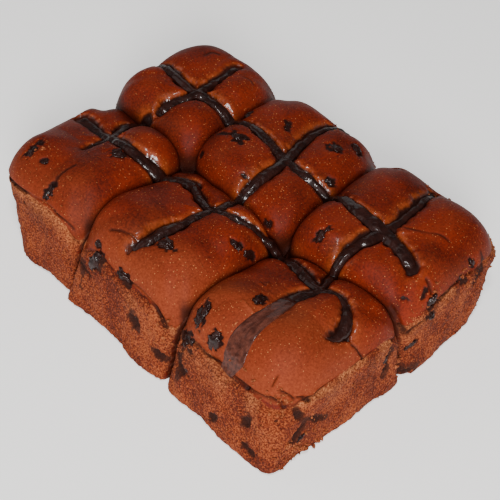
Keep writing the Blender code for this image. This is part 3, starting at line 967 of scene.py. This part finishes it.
def piped_line(name, route, tree):
    """One line of piping: a cylinder cut into rings, which are laid along its route."""
    deselect_all()
    bpy.ops.mesh.primitive_cylinder_add(vertices=20, radius=1, depth=2, end_fill_type="TRIFAN")
    line = added(name)
    bpy.ops.object.mode_set(mode="EDIT")
    bpy.ops.mesh.select_mode(type="EDGE")
    bpy.ops.mesh.select_all(action="DESELECT")
    bpy.ops.object.mode_set(mode="OBJECT")
    for edge in line.data.edges:
        ends = [line.data.vertices[k].co.z for k in edge.vertices]
        edge.select = abs(ends[0] - ends[1]) > 1
    bpy.ops.object.mode_set(mode="EDIT")
    bpy.ops.mesh.subdivide(number_cuts=len(route) - 2)
    bpy.ops.object.mode_set(mode="OBJECT")
    heights = line_height(route[:, :2], route[:, 3])
    drop = np.array([5.0 if thick > 3.4 else mix(1.2, 5.0, (thick - 1.5) / 1.9) for thick in route[:, 3]])
    heights = heights - drop + LINE_RISE
    for _ in range(3):
        padded = np.concatenate((heights[:1], heights, heights[-1:]))
        heights = 0.25 * padded[:-2] + 0.5 * padded[1:-1] + 0.25 * padded[2:]
    spine = np.column_stack((route[:, :2] - ORIGIN, heights))
    ahead = np.gradient(spine, axis=0)
    ahead /= np.linalg.norm(ahead, axis=1)[:, None]
    across = np.cross(ahead, (0, 0, 1))
    across /= np.linalg.norm(across, axis=1)[:, None]
    upward = np.cross(across, ahead)
    place = read_points(line) * MM
    ring = np.rint((place[:, 2] + 1) / 2 * (len(route) - 1)).astype(int)
    turn = np.arctan2(place[:, 1], place[:, 0])
    radius = np.hypot(place[:, 0], place[:, 1])
    travelled = np.concatenate(([0], np.cumsum(np.linalg.norm(np.diff(spine, axis=0), axis=1))))
    to_end = np.minimum(travelled, travelled[-1] - travelled)
    rounding = np.where(route[:, 3] < 3, 1.5, route[:, 2] / 2)
    blunt = np.sqrt(1 - np.clip(1 - to_end / rounding, 0, 0.98) ** 2)
    rope = 1 + 0.05 * np.sin(3 * turn + travelled[ring] * 0.11) + 0.03 * np.sin(7 * turn - travelled[ring] * 0.07)
    half_width = 0.48 * route[ring, 2] * blunt[ring] * rope
    half_height = route[ring, 3] / 2 * blunt[ring] * rope
    points = spine[ring] + across[ring] * (np.cos(turn) * radius * half_width)[:, None]
    points += upward[ring] * (np.sin(turn) * radius * half_height)[:, None]
    points = swell(points)
    lay_film(points, turn, radius, route[ring, 3], tree)
    write_points(line, points)
    return line


class PipeCrosses(bpy.types.Operator):
    """Pipe the chocolate lines over the buns and melt them into one piece"""

    bl_idname = "buns.pipe_crosses"
    bl_label = "Pipe crosses"

    def execute(self, context):
        tree = surface_tree(bpy.data.objects["baked_bun_front_right"])
        lines = [piped_line(name, route, tree) for name, route in ROUTES.items()]
        deselect_all()
        for line in lines:
            line.select_set(True)
        context.view_layer.objects.active = lines[0]
        bpy.ops.object.join()
        piping = added("piped_chocolate")
        bpy.ops.object.mode_set(mode="EDIT")
        bpy.ops.mesh.select_all(action="SELECT")
        bpy.ops.mesh.normals_make_consistent(inside=False)
        bpy.ops.object.mode_set(mode="OBJECT")
        piping.data.remesh_voxel_size = 0.5 * MM
        bpy.ops.object.voxel_remesh()
        bpy.ops.object.shade_smooth()
        points = read_points(piping)
        lumps = 0.45 * clouds(points, 6, 21) + 0.22 * clouds(points, 2.8, 22) + 0.05 * clouds(points, 1.4, 23)
        _, _, thickness = piping_near(points[:, :2] + ORIGIN)
        lumps *= np.clip(thickness / 2.5 - 0.75, 0.05, 1)
        write_points(piping, keep_in_box(points + read_normals(piping) * lumps[:, None]))
        write_attribute(piping, "thin", smooth((4.2 - thickness) / 1.4))
        piping.data.materials.append(chocolate_material(context.scene.bun_colours))
        finish_piece(piping, ["piped_crosses"])
        return {"FINISHED"}


# ---------------------------------------------------------------------------------------------------- the chips


def chip_lump(number, chip, tree):
    """One chip: a ball pressed and pulled into a lump, half sunk in the surface."""
    deselect_all()
    bpy.ops.mesh.primitive_ico_sphere_add(subdivisions=4, radius=1)
    lump = added(f"chip_{number}")
    middle, along, across, out, _ = chip_place(chip, tree)
    ball = read_points(lump) * MM
    half = np.linalg.norm(np.subtract(chip[1], chip[0])) / 2
    size = np.array((half, chip[2] / 2, min(chip[2] / 2, 2.6))) * (1 if chip[3] > 0.35 else 0.75)
    seat = ball * size + number * 17
    uneven = 1.1 + 0.25 * clouds(seat, 2.8, 41) - 0.3 * np.abs(clouds(seat, 1.7, 42)) - 0.2 * np.abs(clouds(seat, 0.9, 43))
    shaped = np.sign(ball) * np.abs(ball) ** 0.85 * size * uneven[:, None]
    sunk = size[2] * (2 * chip[3] - 1) - (1.1 if chip[3] > 0.35 else 1.3)
    write_points(lump, middle + shaped[:, :1] * along + shaped[:, 1:2] * across + (shaped[:, 2:] + sunk) * out)
    return lump


class PressChips(bpy.types.Operator):
    """Press the chocolate chips into the crusts and the torn walls"""

    bl_idname = "buns.press_chips"
    bl_label = "Press chips"

    def execute(self, context):
        trees = [surface_tree(piece) for piece in bpy.data.objects if piece.name.startswith("baked_bun_")]
        lumps = []
        for number, chip in enumerate(CHIPS):
            tree = min(trees, key=lambda tree: chip_place(chip, tree)[4])
            lumps.append(chip_lump(number, chip, tree))
        deselect_all()
        for lump in lumps:
            lump.select_set(True)
        context.view_layer.objects.active = lumps[0]
        bpy.ops.object.join()
        chips = added("chocolate_chips")
        bpy.ops.object.shade_smooth()
        write_points(chips, keep_in_box(read_points(chips)))
        write_attribute(chips, "thin", np.zeros(len(chips.data.vertices)))
        chips.data.materials.append(bpy.data.materials["set_dark_chocolate"])
        finish_piece(chips, [])
        return {"FINISHED"}


# --------------------------------------------------------------------------------------------------- the crumbs


def crumb_spots(tree, chance):
    """Places and ways out for crumbs: most cling along the torn walls, some lie on the crusts and by the foot."""
    spots = []
    for _ in range(900):
        side = chance.integers(4)
        along = chance.uniform(-1, 1)
        height = chance.choice((chance.uniform(0, 44), chance.normal(36, 2)))
        from_side = ((118, along * 84, height), (-118, along * 84, height), (along * 112, -90, height),
                     (along * 112, 90, height))[side]
        spots.append((from_side, chance.uniform(0.2, 0.5)))
    for _ in range(260):
        spots.append(((chance.uniform(-108, 108), chance.uniform(-80, 80), 62), chance.uniform(0.12, 0.3)))
    for centre, spread, count in CRUMB_CLUSTERS:
        for _ in range(count):
            spots.append((centre + chance.normal(0, spread, 3), abs(chance.normal(0.1, 0.35)) + 0.15))
    found = []
    for place, size in spots:
        spot, out, _, away = tree.find_nearest(Vector(place))
        if away < 16 and not (spot.x < -90 and spot.z > 33):
            found.append((np.array(spot), np.array(out), size))
    return found


class ScatterCrumbs(bpy.types.Operator):
    """Scatter crumbs over the torn walls, the lips of the crusts and the foot of the batch"""

    bl_idname = "buns.scatter_crumbs"
    bl_label = "Scatter crumbs"

    def execute(self, context):
        chance = np.random.default_rng(7)
        buns = [piece for piece in bpy.data.objects if piece.name.startswith("baked_bun_")]
        points, faces = [], []
        for piece in buns:
            faces += [tuple(k + len(points) for k in face.vertices) for face in piece.data.polygons if len(face.vertices) == 4]
            points += [Vector(point) for point in read_points(piece)]
        tree = BVHTree.FromPolygons(points, faces)
        deselect_all()
        bpy.ops.mesh.primitive_ico_sphere_add(subdivisions=2, radius=1)
        ball = added("crumb_blank")
        shape = read_points(ball) * MM
        rings = np.array([face.vertices[:] for face in ball.data.polygons])
        bpy.data.objects.remove(ball)
        corners, triangles = [], []
        for number, (spot, out, size) in enumerate(crumb_spots(tree, chance)):
            stretch = chance.uniform(0.5, 1.5, 3) * size
            turn = Matrix.Rotation(chance.uniform(0, 6.28), 3, chance.normal(0, 1, 3))
            uneven = 1 + 0.5 * clouds(shape + number * 5, 0.7, 51)
            lump = (shape * stretch * uneven[:, None]) @ np.array(turn).T + spot + out * size * 0.25
            triangles.append(rings + len(corners) * len(shape))
            corners.append(lump)
        mesh = bpy.data.meshes.new("bread_crumbs")
        mesh.from_pydata([tuple(c) for c in keep_in_box(np.vstack(corners)) * MM], [], np.vstack(triangles).tolist())
        crumbs = bpy.data.objects.new("bread_crumbs", mesh)
        context.collection.objects.link(crumbs)
        deselect_all()
        for name, value in (("pale", 0.4), ("painted_shade", 0.0), ("stain", 0.0)):
            write_attribute(crumbs, name, np.full(len(mesh.vertices), value))
        mesh.materials.append(bpy.data.materials["torn_chocolate_crumb"])
        finish_piece(crumbs, [])
        return {"FINISHED"}


# --------------------------------------------------------------------------------------------------- the stage


def area_light(name, place, target, size, power, colour=(1, 1, 1)):
    bpy.ops.object.light_add(type="AREA", location=place)
    light = bpy.context.active_object
    light.name = name
    light.data.shape = "DISK"
    light.data.size = size
    light.data.energy = power
    light.data.color = colour
    light.rotation_euler = (Vector(target) - Vector(place)).to_track_quat("-Z", "Y").to_euler()


class SetStage(bpy.types.Operator):
    """Lay the pale floor, light it softly and stand the camera"""

    bl_idname = "buns.set_stage"
    bl_label = "Set stage"

    def execute(self, context):
        deselect_all()
        bpy.ops.mesh.primitive_plane_add(size=6, location=(0, 0, -0.0003))
        floor = added("floor")
        made, tree, shader, _ = new_material("matt_white_board")
        shader.inputs["Base Color"].default_value = linear("#f4f2ef")
        shader.inputs["Roughness"].default_value = 0.9
        shader.inputs["Emission Color"].default_value = linear("#ffffff")
        shader.inputs["Emission Strength"].default_value = 0.5
        floor.data.materials.append(made)
        world = bpy.data.worlds.new("studio")
        world.use_nodes = True
        world.node_tree.nodes["Background"].inputs["Color"].default_value = linear("#ffffff")
        world.node_tree.nodes["Background"].inputs["Strength"].default_value = 0.12
        context.scene.world = world
        area_light("front_softbox", (0.95, -0.95, 0.75), (0, 0, 0.03), 0.5, 27)
        area_light("top_softbox", (0.35, -0.4, 1.25), (0, 0, 0.03), 0.26, 9)
        area_light("left_softbox", (-0.9, -0.5, 0.8), (0, 0, 0.03), 0.8, 2)
        area_light("back_softbox", (-0.9, 1.0, 0.5), (0, 0, 0.03), 0.9, 1.5)
        bpy.ops.object.camera_add()
        camera = context.active_object
        camera.name = "camera"
        camera.data.lens = 100
        camera.data.sensor_width = 36
        turn = Matrix.Rotation(math.radians(42), 3, "Z") @ Matrix.Rotation(math.radians(46), 3, "X")
        turn = turn @ Matrix.Rotation(math.radians(4.5), 3, "Z")
        camera.rotation_euler = turn.to_euler()
        camera.location = (0.352405, -0.378744, 0.509135)
        context.scene.camera = camera
        return {"FINISHED"}


# ------------------------------------------------------------------------------------------------- the add-on


class BunSizes(bpy.types.PropertyGroup):
    furrow_depth: bpy.props.FloatProperty(
        name="Furrow depth", description="How far the crust dips towards the piping",
        default=0.006, min=0.0, max=0.01, unit="LENGTH")
    shoulder: bpy.props.FloatProperty(
        name="Shoulder", description="How far the torn crumb stands out below the crust's edge",
        default=0.0012, min=0.0, max=0.004, unit="LENGTH")
    crumb_relief: bpy.props.FloatProperty(
        name="Crumb relief", description="How rough the torn walls are",
        default=0.001, min=0.0, max=0.003, unit="LENGTH")


class BunColours(bpy.types.PropertyGroup):
    crust_dark: bpy.props.FloatVectorProperty(
        name="Dark crust", description="Where the crust is browned most", subtype="COLOR", min=0, max=1,
        default=linear("#3c0e06")[:3])
    crust_light: bpy.props.FloatVectorProperty(
        name="Light crust", description="Where the crust is browned least", subtype="COLOR", min=0, max=1,
        default=linear("#78220c")[:3])
    crust_pale: bpy.props.FloatVectorProperty(
        name="Stretched crust", description="The thin crust towards the torn sides", subtype="COLOR", min=0, max=1,
        default=linear("#873b20")[:3])
    crumb: bpy.props.FloatVectorProperty(
        name="Crumb", description="The torn bread", subtype="COLOR", min=0, max=1, default=linear("#6a2712")[:3])
    chocolate: bpy.props.FloatVectorProperty(
        name="Chocolate", description="The piping and chips", subtype="COLOR", min=0, max=1,
        default=linear("#1b0906")[:3])


class BunPanel(bpy.types.Panel):
    bl_idname = "VIEW3D_PT_buns"
    bl_label = "Hot cross buns"
    bl_space_type = "VIEW_3D"
    bl_region_type = "UI"
    bl_category = "Buns"

    def draw(self, context):
        for group in (context.scene.bun_sizes, context.scene.bun_colours):
            for name in group.__annotations__:
                self.layout.prop(group, name)
        for operator in OPERATORS:
            self.layout.operator(operator.bl_idname)


OPERATORS = (BakeBuns, PipeCrosses, PressChips, ScatterCrumbs, SetStage)
CLASSES = (BunSizes, BunColours, BunPanel) + OPERATORS


def register():
    for kind in CLASSES:
        bpy.utils.register_class(kind)
    bpy.types.Scene.bun_sizes = bpy.props.PointerProperty(type=BunSizes)
    bpy.types.Scene.bun_colours = bpy.props.PointerProperty(type=BunColours)


def unregister():
    del bpy.types.Scene.bun_colours
    del bpy.types.Scene.bun_sizes
    for kind in reversed(CLASSES):
        bpy.utils.unregister_class(kind)


def main():
    register()
    bpy.ops.buns.bake_buns()
    bpy.ops.buns.pipe_crosses()
    bpy.ops.buns.press_chips()
    bpy.ops.buns.scatter_crumbs()
    bpy.ops.buns.set_stage()


if __name__ == "__main__":
    main()
